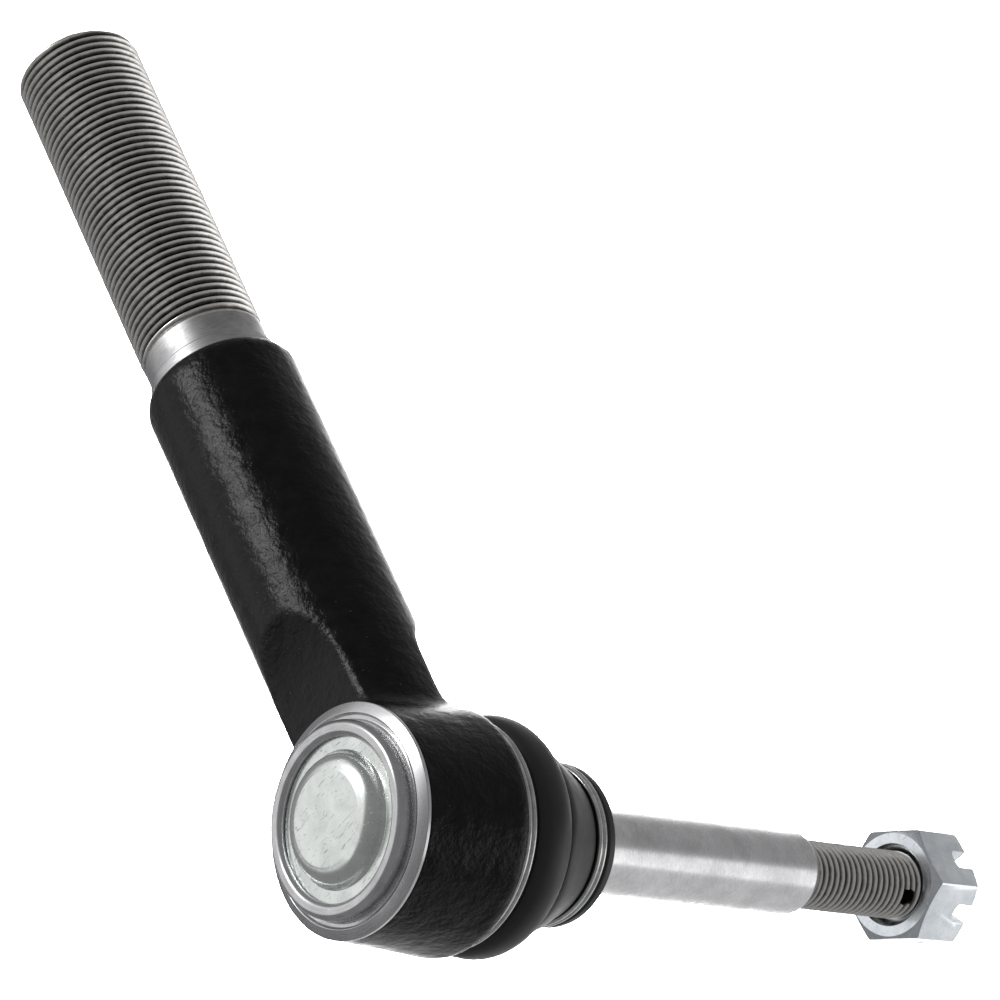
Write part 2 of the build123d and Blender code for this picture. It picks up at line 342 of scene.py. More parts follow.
@dataclass(frozen=True)
class Finish:
    """A surface finish. Each kind fills in its own nodes; lengths are in millimetres."""

    name: str

    def start(self) -> tuple[bpy.types.Material, bpy.types.NodeTree, bpy.types.Node, Socket]:
        """Begins the finish's material.

        Returns:
            The material, its node tree, its shader and object coordinates in millimetres.
        """
        material = bpy.data.materials.new(self.name)
        material.use_nodes = True
        tree = material.node_tree
        shader = tree.nodes["Principled BSDF"]
        place = node(tree, "ShaderNodeTexCoord")
        scaled = node(tree, "ShaderNodeVectorMath", {0: place.outputs["Object"], 1: (1 / MM,) * 3},
                      operation="MULTIPLY")
        return material, tree, shader, scaled.outputs["Vector"]

    def noise(self, tree: bpy.types.NodeTree, where: Socket, size: float, detail: float = 3.0,
              rough: float = 0.55, warp: float = 0.0) -> Socket:
        """Noise whose blobs are about this many millimetres across.

        Args:
            tree: The node tree.
            where: Coordinates in millimetres.
            size: Blob size in millimetres.
            detail: How many finer layers it has.
            rough: How strong those are.
            warp: How much it is swirled.

        Returns:
            The noise's socket.
        """
        made = node(tree, "ShaderNodeTexNoise", {"Vector": where, "Scale": 1 / size, "Detail": detail,
                                                 "Roughness": rough, "Distortion": warp})
        return made.outputs["Fac"]

    def dress(self, tree: bpy.types.NodeTree, shader: bpy.types.Node, colour: Socket, rough: Socket,
              normal: Socket) -> None:
        """Links the patterns to the shader.

        Args:
            tree: The node tree.
            shader: The shader node.
            colour: Base colour.
            rough: Roughness.
            normal: Bumped normal.
        """
        for name, value in (("Base Color", colour), ("Roughness", rough), ("Normal", normal)):
            tree.links.new(value, shader.inputs[name])

    def round_axis(self, tree: bpy.types.NodeTree, where: Socket, place: Place,
                   ) -> tuple[Socket, Socket, Socket]:
        """Coordinates round an axis.

        Args:
            tree: The node tree.
            where: Coordinates in millimetres.
            place: The axis.

        Returns:
            Distance from the axis, turn about it in radians, and height along it.
        """
        own = node(tree, "ShaderNodeMapping", {"Vector": where, "Rotation": place.pattern_turn()})
        parts = node(tree, "ShaderNodeSeparateXYZ", {"Vector": own.outputs["Vector"]})
        flat = node(tree, "ShaderNodeCombineXYZ", {"X": parts.outputs["X"], "Y": parts.outputs["Y"]})
        distance = node(tree, "ShaderNodeVectorMath", {0: flat.outputs["Vector"]}, operation="LENGTH")
        turn = node(tree, "ShaderNodeMath", {0: parts.outputs["Y"], 1: parts.outputs["X"]},
                    operation="ARCTAN2")
        return distance.outputs["Value"], turn.outputs["Value"], parts.outputs["Z"]


@dataclass(frozen=True)
class DipCoat(Finish):
    """Black electro-dip paint over a drop-forged skin: gloss broken by scale pits and orange peel."""

    peel: float = 0.9
    scale_marks: float = 2.6

    def build(self) -> bpy.types.Material:
        """Returns the material.

        Returns:
            The material.
        """
        material, tree, shader, where = self.start()
        peel = self.noise(tree, where, self.peel, 2.0)
        marks = self.noise(tree, where, self.scale_marks, 5.0, 0.6, 0.1)
        pits = node(tree, "ShaderNodeTexVoronoi", {"Vector": where, "Scale": 1 / 2.4}, feature="F1")
        pit_depth = ramp(tree, pits.outputs["Distance"], [(0.0, grey(0.0)), (0.1, grey(1.0))])
        soft = node(tree, "ShaderNodeBump", {"Height": marks, "Strength": 0.8, "Distance": 0.34 * MM})
        fine = node(tree, "ShaderNodeBump", {"Height": peel, "Strength": 0.8, "Distance": 0.09 * MM,
                                             "Normal": soft.outputs["Normal"]})
        holes = node(tree, "ShaderNodeBump", {"Height": pit_depth, "Strength": 0.7, "Distance": 0.06 * MM,
                                              "Normal": fine.outputs["Normal"]})
        dust = node(tree, "ShaderNodeTexVoronoi", {"Vector": where, "Scale": 1 / 1.7}, feature="F1")
        wide = self.noise(tree, where, 14.0, 2.0)
        near = node(tree, "ShaderNodeMath", {0: wide, 1: 0.09}, operation="MULTIPLY")
        speck = node(tree, "ShaderNodeMath", {0: dust.outputs["Distance"], 1: near.outputs["Value"]},
                     operation="LESS_THAN")
        faint = node(tree, "ShaderNodeMath", {0: speck.outputs["Value"], 1: 0.35}, operation="MULTIPLY")
        paint = ramp(tree, marks, [(0.3, linear("#0b0b0c")), (0.7, linear("#151517"))])
        colour = node(tree, "ShaderNodeMix", {0: faint.outputs["Value"], 6: paint, 7: linear("#8d8d90")},
                      data_type="RGBA")
        rough = ramp(tree, marks, [(0.3, grey(0.17)), (0.75, grey(0.3))])
        self.dress(tree, shader, colour.outputs[2], rough, holes.outputs["Normal"])
        shader.inputs["IOR"].default_value = 1.25
        return material


@dataclass(frozen=True)
class TurnedSteel(Finish):
    """Bare lathe-turned or ground steel: fine rings round the axis under a thin film of oil."""

    place: Place = Place(Vector((0, 0, 1)), Vector((1, 0, 0)))
    light: str = "#cfcfd0"
    dark: str = "#a5a5a6"
    mark: float = 0.22
    marks_depth: float = 0.012
    roughness: float = 0.26

    def build(self) -> bpy.types.Material:
        """Returns the material.

        Returns:
            The material.
        """
        material, tree, shader, where = self.start()
        distance, turn, height = self.round_axis(tree, where, self.place)
        along = node(tree, "ShaderNodeMath", {0: turn, 1: 1.2}, operation="MULTIPLY")
        streak_place = node(tree, "ShaderNodeCombineXYZ", {"X": distance, "Y": along.outputs["Value"],
                                                           "Z": height})
        streaks = self.noise(tree, streak_place.outputs["Vector"], self.mark, 3.0, 0.7)
        blotches = self.noise(tree, where, 5.0, 4.0, 0.6)
        both = node(tree, "ShaderNodeMix", {0: 0.5, 2: streaks, 3: blotches}, data_type="FLOAT")
        colour = ramp(tree, both.outputs[0], [(0.3, linear(self.dark)), (0.65, linear(self.light))])
        rough = ramp(tree, both.outputs[0], [(0.25, grey(self.roughness * 1.3)),
                                             (0.75, grey(self.roughness * 0.8))])
        bump = node(tree, "ShaderNodeBump", {"Height": streaks, "Strength": 0.6,
                                             "Distance": self.marks_depth * MM})
        self.dress(tree, shader, colour, rough, bump.outputs["Normal"])
        shader.inputs["Metallic"].default_value = 1.0
        return material


@dataclass(frozen=True)
class RolledThread(Finish):
    """Thread-rolled steel: burnished crests, colour darkening towards the roots as painted shade, partly
    dark oil and oxide.
    """

    place: Place = Place(Vector((0, 0, 1)), Vector((1, 0, 0)))
    root_r: float = 10.1
    crest_r: float = 11.0

    def build(self) -> bpy.types.Material:
        """Returns the material.

        Returns:
            The material.
        """
        material, tree, shader, where = self.start()
        distance, turn, height = self.round_axis(tree, where, self.place)
        # Distance from the axis drives the colour: the roots are darkened as painted shade, partly oil and
        # oxide.
        depth = node(tree, "ShaderNodeMapRange", {"Value": distance, "From Min": self.root_r,
                                                  "From Max": self.crest_r})
        grime = self.noise(tree, where, 1.6, 4.0, 0.65)
        uneven = node(tree, "ShaderNodeMath", {0: grime, 1: 0.5, 2: depth.outputs["Result"]},
                      operation="MULTIPLY_ADD")
        level = node(tree, "ShaderNodeMath", {0: uneven.outputs["Value"], 1: 0.25}, operation="SUBTRACT")
        # Dark end of this ramp is painted shade down in the roots, along with oil and oxide.
        colour = ramp(tree, level.outputs["Value"],
                      [(0.0, linear("#11100f")), (0.4, linear("#7c7a77")), (0.8, linear("#f0eeea"))])
        rough = ramp(tree, level.outputs["Value"], [(0.0, grey(0.6)), (0.9, grey(0.3))])
        bump = node(tree, "ShaderNodeBump", {"Height": grime, "Strength": 0.4, "Distance": 0.03 * MM})
        self.dress(tree, shader, colour, rough, bump.outputs["Normal"])
        shader.inputs["Metallic"].default_value = 1.0
        return material


@dataclass(frozen=True)
class ZincPlate(Finish):
    """Bright electroplated zinc: pale, slightly cloudy, with handling scratches and dark pin pricks."""

    light: str = "#e0e4e1"
    dark: str = "#cdd2cf"
    cloud: float = 4.0
    roughness: float = 0.22
    scratches: float = 0.5

    def build(self) -> bpy.types.Material:
        """Returns the material.

        Returns:
            The material.
        """
        material, tree, shader, where = self.start()
        clouds = self.noise(tree, where, self.cloud, 4.0, 0.6, 0.4)
        warped = node(tree, "ShaderNodeMapping", {"Vector": where, "Rotation": (0.3, 0.5, 0.7),
                                                  "Scale": (1.0, 0.12, 1.0)})
        lines = self.noise(tree, warped.outputs["Vector"], 0.5, 2.0, 0.5, 2.5)
        scratch = ramp(tree, lines, [(0.66, grey(0.0)), (0.7, grey(1.0))])
        pricks = node(tree, "ShaderNodeTexVoronoi", {"Vector": where, "Scale": 1 / 1.9}, feature="F1")
        prick = node(tree, "ShaderNodeMath", {0: pricks.outputs["Distance"], 1: 0.055},
                     operation="LESS_THAN")
        worn = node(tree, "ShaderNodeMath", {0: scratch, 1: prick.outputs["Value"]}, operation="MAXIMUM")
        amount = node(tree, "ShaderNodeMath", {0: worn.outputs["Value"], 1: self.scratches},
                      operation="MULTIPLY")
        plate = ramp(tree, clouds, [(0.3, linear(self.dark)), (0.65, linear(self.light))])
        colour = node(tree, "ShaderNodeMix", {0: amount.outputs["Value"], 6: plate, 7: linear("#5d6062")},
                      data_type="RGBA")
        rough = ramp(tree, clouds, [(0.3, grey(self.roughness * 1.35)), (0.7, grey(self.roughness * 0.8))])
        skin = node(tree, "ShaderNodeBump", {"Height": clouds, "Strength": 0.3, "Distance": 0.05 * MM})
        bump = node(tree, "ShaderNodeBump", {"Height": worn.outputs["Value"], "Strength": 0.5,
                                             "Distance": 0.02 * MM, "Normal": skin.outputs["Normal"]},
                    invert=True)
        self.dress(tree, shader, colour.outputs[2], rough, bump.outputs["Normal"])
        shader.inputs["Metallic"].default_value = 1.0
        return material


@dataclass(frozen=True)
class MouldedRubber(Finish):
    """Compression-moulded chloroprene rubber: near black, satin, with a fine mould grain and dust."""

    grain: float = 0.35

    def build(self) -> bpy.types.Material:
        """Returns the material.

        Returns:
            The material.
        """
        material, tree, shader, where = self.start()
        grain = self.noise(tree, where, self.grain, 2.0)
        bloom = self.noise(tree, where, 6.0, 4.0, 0.6)
        colour = ramp(tree, bloom, [(0.35, linear("#121213")), (0.7, linear("#1d1d1e"))])
        rough = ramp(tree, bloom, [(0.3, grey(0.38)), (0.7, grey(0.52))])
        bump = node(tree, "ShaderNodeBump", {"Height": grain, "Strength": 0.35, "Distance": 0.02 * MM})
        self.dress(tree, shader, colour, rough, bump.outputs["Normal"])
        shader.inputs["Sheen Weight"].default_value = 0.08
        shader.inputs["Sheen Roughness"].default_value = 0.4
        return material


@dataclass(frozen=True)
class PlainStock(Finish):
    """Other stock: drawn wire, spring steel or moulded acetal, told apart by colour and gloss."""

    light: str = "#d6d6d4"
    dark: str = "#b2b2b0"
    metallic: float = 1.0
    roughness: float = 0.2
    blotch: float = 2.0

    def build(self) -> bpy.types.Material:
        """Returns the material.

        Returns:
            The material.
        """
        material, tree, shader, where = self.start()
        blotches = self.noise(tree, where, self.blotch, 4.0, 0.6)
        colour = ramp(tree, blotches, [(0.3, linear(self.dark)), (0.7, linear(self.light))])
        rough = ramp(tree, blotches, [(0.3, grey(self.roughness * 1.3)), (0.7, grey(self.roughness * 0.8))])
        bump = node(tree, "ShaderNodeBump", {"Height": blotches, "Strength": 0.2, "Distance": 0.02 * MM})
        self.dress(tree, shader, colour, rough, bump.outputs["Normal"])
        shader.inputs["Metallic"].default_value = self.metallic
        return material


# ---- what repeats: threads and wound wire ---------------------------------------


def close_group(group: bpy.types.NodeTree, last: bpy.types.Node, given: bpy.types.bpy_prop_collection,
                ) -> None:
    """Ends a geometry group: instances made real, then dressed.

    Args:
        group: The group.
        last: The node whose geometry is finished.
        given: The group's inputs, with a Material among them.
    """
    real = node(group, "GeometryNodeRealizeInstances", {"Geometry": last.outputs[0]})
    dressed = node(group, "GeometryNodeSetMaterial", {"Geometry": real.outputs[0],
                                                      "Material": given["Material"]})
    node(group, "NodeGroupOutput", {0: dressed.outputs[0]})


def grow(name: str, group: bpy.types.NodeTree, values: dict, where: Matrix, merge: float,
         sharp: float) -> bpy.types.Object:
    """Runs a geometry group once and keeps its result as a plain mesh.

    Args:
        name: The piece's name.
        group: The node group.
        values: Its inputs by name; a None is left unset.
        where: Matrix from the group's millimetres to the piece's place.
        merge: Distance within which points become one.
        sharp: Angle in degrees above which an edge stays crisp.

    Returns:
        The piece.
    """
    holder = link(name, bpy.data.meshes.new(name))
    modifier = holder.modifiers.new("form", "NODES")
    modifier.node_group = group
    for item in group.interface.items_tree:
        if item.item_type == "SOCKET" and item.in_out == "INPUT" and values.get(item.name) is not None:
            modifier[item.identifier] = values[item.name]
    mesh = evaluated(holder)
    bpy.data.objects.remove(holder)
    mesh.transform(where)
    tidy_mesh(mesh, merge=merge, sharp=sharp)
    return link(name, mesh)


@dataclass(frozen=True)
class Thread:
    """A helical thread form made by geometry nodes. Lengths are in millimetres."""

    name: str
    radius: float
    pitch: float
    turns: int
    start_r: float
    end_r: float
    run_out: float
    segments: int = 96
    rows_per_turn: int = 8

    @property
    def length(self) -> float:
        """Whole length of the thread form."""
        return self.pitch * self.turns

    @property
    def depth(self) -> float:
        """Depth of an ISO 60-degree thread."""
        return 0.6134 * self.pitch

    def tree(self) -> bpy.types.NodeTree:
        """Node group: a sheared grid wrapped round z, so that its rows follow the helix.

        Returns:
            The group, with the thread's sizes as named inputs.
        """
        group = bpy.data.node_groups.new(self.name + "_form", "GeometryNodeTree")
        face = group.interface
        face.new_socket("Geometry", in_out="OUTPUT", socket_type="NodeSocketGeometry")
        sizes = {"Radius": self.radius, "Pitch": self.pitch, "Length": self.length, "Depth": self.depth,
                 "Start Radius": self.start_r, "End Radius": self.end_r, "Run Out": self.run_out}
        for label in sizes:
            face.new_socket(label, in_out="INPUT", socket_type="NodeSocketFloat")
        for label in ("Segments", "Rows"):
            face.new_socket(label, in_out="INPUT", socket_type="NodeSocketInt")
        face.new_socket("Material", in_out="INPUT", socket_type="NodeSocketMaterial")
        given = node(group, "NodeGroupInput").outputs

        def math_node(operation: str, *values) -> Socket:
            """One scalar operation."""
            return node(group, "ShaderNodeMath", dict(enumerate(values)), operation=operation).outputs[0]

        columns = math_node("ADD", given["Segments"], 1)
        grid = node(group, "GeometryNodeMeshGrid", {"Size X": 1.0, "Size Y": 1.0, "Vertices X": columns,
                                                    "Vertices Y": given["Rows"]})
        position = node(group, "GeometryNodeInputPosition")
        place = node(group, "ShaderNodeSeparateXYZ", {0: position.outputs[0]})
        turn = math_node("ADD", place.outputs["X"], 0.5)
        row = math_node("ADD", place.outputs["Y"], 0.5)
        reach = math_node("ADD", given["Length"], given["Pitch"])
        climb = math_node("SUBTRACT", math_node("MULTIPLY", row, reach), given["Pitch"])
        raw = math_node("MULTIPLY_ADD", turn, given["Pitch"], climb)
        height = math_node("MINIMUM", math_node("MAXIMUM", raw, 0.0), given["Length"])
        phase = math_node("FRACT", math_node("ADD", math_node("DIVIDE", climb, given["Pitch"]), 0.5 + 1e-4))
        from_crest = math_node("ABSOLUTE", math_node("SUBTRACT", phase, 0.5 + 1e-4))
        flank = node(group, "ShaderNodeMapRange", {"Value": from_crest, "From Min": 0.375,
                                                   "From Max": 0.0625}, interpolation_type="LINEAR")
        lack = math_node("MULTIPLY", math_node("SUBTRACT", 1.0, flank.outputs["Result"]), given["Depth"])
        full = math_node("SUBTRACT", given["Radius"], lack)
        into = node(group, "ShaderNodeMapRange", {"Value": height, "From Min": 0.0,
                                                  "From Max": given["Run Out"]},
                    interpolation_type="SMOOTHSTEP")
        started = node(group, "ShaderNodeMix", {0: into.outputs["Result"], 2: given["Start Radius"],
                                                3: full}, data_type="FLOAT").outputs[0]
        cone = math_node("ADD", given["End Radius"], math_node("SUBTRACT", given["Length"], height))
        radius = math_node("MINIMUM", started, cone)
        angle = math_node("MULTIPLY", turn, 2 * math.pi)
        spot = node(group, "ShaderNodeCombineXYZ", {
            "X": math_node("MULTIPLY", radius, math_node("COSINE", angle)),
            "Y": math_node("MULTIPLY", radius, math_node("SINE", angle)), "Z": height})
        wall = node(group, "GeometryNodeSetPosition", {"Geometry": grid.outputs["Mesh"],
                                                       "Position": spot.outputs[0]})
        lids = []
        for size, lift in ((given["Start Radius"], 0.0), (given["End Radius"], given["Length"])):
            disc = node(group, "GeometryNodeMeshCircle", {"Vertices": given["Segments"], "Radius": size},
                        fill_type="TRIANGLE_FAN")
            move = node(group, "ShaderNodeCombineXYZ", {"Z": lift})
            lids.append(node(group, "GeometryNodeTransform", {"Geometry": disc.outputs[0],
                                                              "Translation": move.outputs[0]}).outputs[0])
        joined = node(group, "GeometryNodeJoinGeometry")
        for part in (wall.outputs[0], *lids):
            group.links.new(part, joined.inputs[0])
        welded = node(group, "GeometryNodeMergeByDistance", {"Geometry": joined.outputs[0],
                                                             "Distance": 1e-3})
        close_group(group, welded, given)
        return group

    def build(self, place: Optional[Place], start: float, material: Optional[bpy.types.Material],
              ) -> bpy.types.Object:
        """Makes the thread form as a plain closed mesh.

        Args:
            place: The axis that it winds round, or None to leave it in its own millimetres.
            start: Height along the axis where it begins.
            material: Its finish, or None for a cutting tool.

        Returns:
            The piece, in the frame's place.
        """
        values = {"Radius": self.radius, "Pitch": self.pitch, "Length": self.length, "Depth": self.depth,
                  "Start Radius": self.start_r, "End Radius": self.end_r, "Run Out": self.run_out,
                  "Segments": self.segments, "Rows": (self.turns + 1) * self.rows_per_turn + 1,
                  "Material": material}
        where = (place.matrix() if place else WORKBENCH) @ Matrix.Translation((0, 0, start))
        return grow(self.name, self.tree(), values, where, merge=1e-7, sharp=80)


@dataclass(frozen=True)
class WireRing:
    """A retaining ring wound from round wire by geometry nodes, with its cut ends showing."""

    name: str
    middle_r: float
    wire_r: float
    spread: float
    turns: float = 2.06

    def tree(self) -> bpy.types.NodeTree:
        """Node group: a spiral curve swept with a round wire and closed at its ends.

        Returns:
            The group, with the ring's sizes as named inputs.
        """
        group = bpy.data.node_groups.new(self.name + "_coil", "GeometryNodeTree")
        face = group.interface
        face.new_socket("Geometry", in_out="OUTPUT", socket_type="NodeSocketGeometry")
        for label in ("Middle Radius", "Wire Radius", "Spread", "Turns"):
            face.new_socket(label, in_out="INPUT", socket_type="NodeSocketFloat")
        face.new_socket("Material", in_out="INPUT", socket_type="NodeSocketMaterial")
        given = node(group, "NodeGroupInput").outputs
        spiral = node(group, "GeometryNodeCurveSpiral", {
            "Resolution": 110, "Rotations": given["Turns"], "Start Radius": given["Middle Radius"],
            "End Radius": given["Middle Radius"], "Height": given["Spread"]})
        wire = node(group, "GeometryNodeCurvePrimitiveCircle", {"Resolution": 14,
                                                                "Radius": given["Wire Radius"]})
        swept = node(group, "GeometryNodeCurveToMesh", {"Curve": spiral.outputs[0],
                                                        "Profile Curve": wire.outputs[0], "Fill Caps": True})
        close_group(group, swept, given)
        return group

    def build(self, place: Place, at: float, material: bpy.types.Material) -> bpy.types.Object:
        """Makes the ring as a plain mesh.

        Args:
            place: The axis it is wound round.
            at: Height of its middle along that axis.
            material: Its finish.

        Returns:
            The piece.
        """
        values = {"Middle Radius": self.middle_r, "Wire Radius": self.wire_r, "Spread": self.spread,
                  "Turns": self.turns, "Material": material}
        where = place.matrix() @ Matrix.Translation((0, 0, at - self.spread / 2))
        return grow(self.name, self.tree(), values, where, merge=1e-6, sharp=50)


# ---- the frame's places ----------------------------------------------------------


class Body(Enum):
    """The moving bodies, by their names in the frame."""

    HOUSING = "housing"
    BEARING = "bearing"
    BOOT_NECK = "boot_neck"
    STUD = "stud"
    NUT = "nut"


class Slot(Enum):
    """Names of the record's material slots."""

    FORGING = "painted_forging"
    GROUND = "ground_steel"
    ZINC = "zinc_plate"
    NUT = "zinc_nut"
    RUBBER = "boot_rubber"
    WIRE = "ring_wire"


@dataclass(frozen=True)
class Layout:
    """The axes that pieces are made about, from the frame's joints, and the frame's own nodes."""

    head: Place
    shank: Place
    stud: Place
    hanging: Place
    swing_axis: Vector
    lean: float
    nodes: dict[str, bpy.types.Object]

    @classmethod
    def from_frame(cls, frame: dict) -> "Layout":
        """Reads the spin joint's axis; the swing axis is worked out from it.

        Returns:
            The layout.
        """
        joints = {joint["name"]: joint for joint in frame["joints"]}
        along = Vector(joints["stud_spin"]["axis"]).normalized()
        heading = Vector((along.x, along.y, 0)).normalized()
        down = Vector((0, 0, -1))
        return cls(
            head=Place(Vector((0, 0, 1)), Vector((1, 0, 0))),
            shank=Place(Vector((1, 0, 0)), Vector((0, 0, 1))),
            stud=Place(along, heading),
            hanging=Place(down, heading),
            swing_axis=down.cross(heading),
            lean=math.acos(along.dot(down)),
            nodes=frame["nodes"],
        )


def keep(piece: bpy.types.Object, body: Body, finish: bpy.types.Material) -> bpy.types.Object:
    """Dresses a piece, makes it ride its body and reports it.

    Args:
        piece: The finished mesh.
        body: The body it moves with.
        finish: Its material.

    Returns:
        The piece.
    """
    piece.data.materials.clear()
    piece.data.materials.append(finish)
    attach(piece, body.value)
    LOG.info("%s: %d faces on %s", piece.name, len(piece.data.polygons), body.value)
    return piece


# ---- sub-assemblies ----------------------------------------------------------------


@dataclass
class Housing:
    """The drop forging with its machined rim and threaded shank."""

    rim_cut_z: float = 15.0
    arm_cut_x: float = 96.9
    voxel: float = 0.45
    soften: int = 14
    waviness: float = 0.07
    step_r: float = 11.4
    step_x: float = 99.3
    collar_r: float = 10.8
    thread_x: float = 104.0
    rim_r: float = 19.3
    rim_z: float = 15.3

    def forging(self, layout: Layout) -> bpy.types.Object:
        """Black forged body: the frame's housing, cut off where machining starts, then softened.

        Args:
            layout: Where the frame's housing is found.

        Returns:
            The piece.
        """
        node_mesh = layout.nodes["housing"].data.copy()
        tidy_mesh(node_mesh, merge=2e-6)
        piece = link("forging", node_mesh)
        work = bmesh.new()
        low, high = (-40.0, -40.0, -30.0), (self.arm_cut_x, 40.0, self.rim_cut_z)
        bmesh.ops.create_cube(work, size=1.0)
        for vert in work.verts:
            vert.co = Vector([MM * (low[k] if vert.co[k] < 0 else high[k]) for k in range(3)])
        cut(piece, solid("keep", work), "INTERSECT")
        remesh = piece.modifiers.new("skin", "REMESH")
        remesh.mode = "VOXEL"
        remesh.voxel_size = self.voxel * MM
        piece.data = evaluated(piece)
        self.soften_skin(piece.data)
        tidy_mesh(piece.data, sharp=60)
        return piece

    def soften_skin(self, mesh: bpy.types.Mesh) -> None:
        """Rounds the forging's edges and adds its slow waviness, but not near machined faces.

        Args:
            mesh: The forging's mesh, changed in place.
        """
        count = len(mesh.vertices)
        spots = np.empty(count * 3)
        mesh.vertices.foreach_get("co", spots)
        spots = spots.reshape(-1, 3)
        edges = np.empty(len(mesh.edges) * 2, dtype=np.int64)
        mesh.edges.foreach_get("vertices", edges)
        edges = edges.reshape(-1, 2)
        degree = np.bincount(edges.ravel(), minlength=count).astype(float)[:, None]
        spread = np.hypot(spots[:, 0], spots[:, 1]) / MM
        height = spots[:, 2] / MM
        free = np.clip((self.rim_cut_z - 0.6 - height) / 1.5, 0, 1)
        free *= np.clip((self.arm_cut_x - 0.3 - spots[:, 0] / MM) / 1.0, 0, 1)
        outside = (spread > 16.5) | (height > 12)
        free *= outside
        free *= np.clip((height + 6.0) / 1.0, 0.15, 1)
        free = free[:, None]
        for _ in range(self.soften):
            total = np.zeros_like(spots)
            np.add.at(total, edges[:, 0], spots[edges[:, 1]])
            np.add.at(total, edges[:, 1], spots[edges[:, 0]])
            spots += (total / degree - spots) * free * 0.6
        mesh.vertices.foreach_set("co", spots.ravel())
        mesh.update()
        normals = np.empty(count * 3)
        mesh.vertices.foreach_get("normal", normals)
        normals = normals.reshape(-1, 3)
        swell = np.array([noise.noise(Vector(spot) / (9.0 * MM))
                          + 0.5 * noise.noise(Vector(spot) / (3.5 * MM)) for spot in spots])[:, None]
        spots += normals * (swell - 0.35) * free * self.waviness * MM
        mesh.vertices.foreach_set("co", spots.ravel())
        mesh.update()

    def rim(self, layout: Layout) -> bpy.types.Object:
        """Machined rim: chamfer, shallow groove and the lip rolled over the cover.

        Args:
            layout: Gives the head's axis.

        Returns:
            The piece.
        """
        r, z = self.rim_r, self.rim_z
        corners = [
            (15.36, 14.4, 0), (r + 0.08, 14.7, 0), (r + 0.1, z, 0.15), (r - 1.75, z + 0.85, 0.15),
            (r - 2.0, z + 0.15, 0.25), (16.4, z + 0.15, 0.35), (16.3, 17.9, 1.1), (15.6, 18.62, 0.9),
            (14.2, 18.6, 0.9), (13.5, 17.9, 0.4), (13.62, 17.36, 0.08), (15.36, 17.36, 0),
        ]
        return turned("machined_rim", rounded(corners), layout.head)

    def collar(self, layout: Layout) -> bpy.types.Object:
        """Turned step against the forging and the plain shank before the thread.

        Args:
            layout: Gives the shank's axis.

        Returns:
            The piece.
        """
        corners = [
            (0, self.arm_cut_x - 0.8, 0), (self.step_r, self.arm_cut_x - 0.8, 0),
            (self.step_r, self.step_x, 0.25), (self.collar_r, self.step_x + 0.35, 0.3),
            (self.collar_r, self.thread_x + 0.1, 0), (0, self.thread_x + 0.1, 0),
        ]
        return turned("shank_collar", rounded(corners, closed=False), layout.shank, closed=False)

    def build(self, layout: Layout, coat: bpy.types.Material, rim_steel: bpy.types.Material,
              collar_steel: bpy.types.Material, rolled: bpy.types.Material) -> None:
        """Builds and dresses the housing's pieces.

        Args:
            layout: The part's axes and nodes.
            coat: Finish of the forged body.
            rim_steel: Finish of the machined rim.
            collar_steel: Finish of the step and plain shank.
            rolled: Finish of the thread.
        """
        forging = keep(self.forging(layout), Body.HOUSING, coat)
        keep(self.rim(layout), Body.HOUSING, rim_steel)
        keep(self.collar(layout), Body.HOUSING, collar_steel)
        form = Thread("shank_thread", radius=11.0, pitch=1.5, turns=45, start_r=10.7, end_r=9.5,
                      run_out=2.2)
        thread = form.build(layout.shank, self.thread_x, rolled)
        keep(thread, Body.HOUSING, rolled)
        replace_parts(forging, "housing")


@dataclass
class CoverPlate:
    """The pressed cover with its round dome."""

    top_z: float = 17.3
    thickness: float = 1.6
    outer_r: float = 15.3
    dome_r: float = 11.2
    dome_z: float = 20.3

    def build(self, layout: Layout, plate: bpy.types.Material) -> None:
        """Spins the cover and dresses it.

        Args:
            layout: Gives the head's axis.
            plate: Its finish.
        """
        inner_top, inner_flat = self.dome_z - self.thickness, self.top_z - self.thickness
        rise = self.dome_z - self.top_z
        bulge = flowing([(0, self.dome_z), (self.dome_r - 4.4, self.dome_z - 0.01 * rise),
                         (self.dome_r - 2.9, self.dome_z - 0.06 * rise),
                         (self.dome_r - 1.7, self.dome_z - 0.2 * rise),
                         (self.dome_r - 0.75, self.dome_z - 0.46 * rise),
                         (self.dome_r - 0.15, self.top_z + 0.16 * rise), (self.dome_r + 0.25, self.top_z)])
        edge = rounded([
            (self.dome_r + 0.25, self.top_z, 0), (self.outer_r, self.top_z, 0.3),
            (self.outer_r, inner_flat, 0.2),
            (self.dome_r - 1.4, inner_flat, 0.3), (self.dome_r - 2.6, inner_top - 0.8, 0.8),
            (self.dome_r - 5.0, inner_top, 1.2), (0, inner_top, 0),
        ], closed=False)
        piece = turned("cover_dome", bulge + edge[1:], layout.head, closed=False)
        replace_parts(keep(piece, Body.HOUSING, plate), "cover_plate")


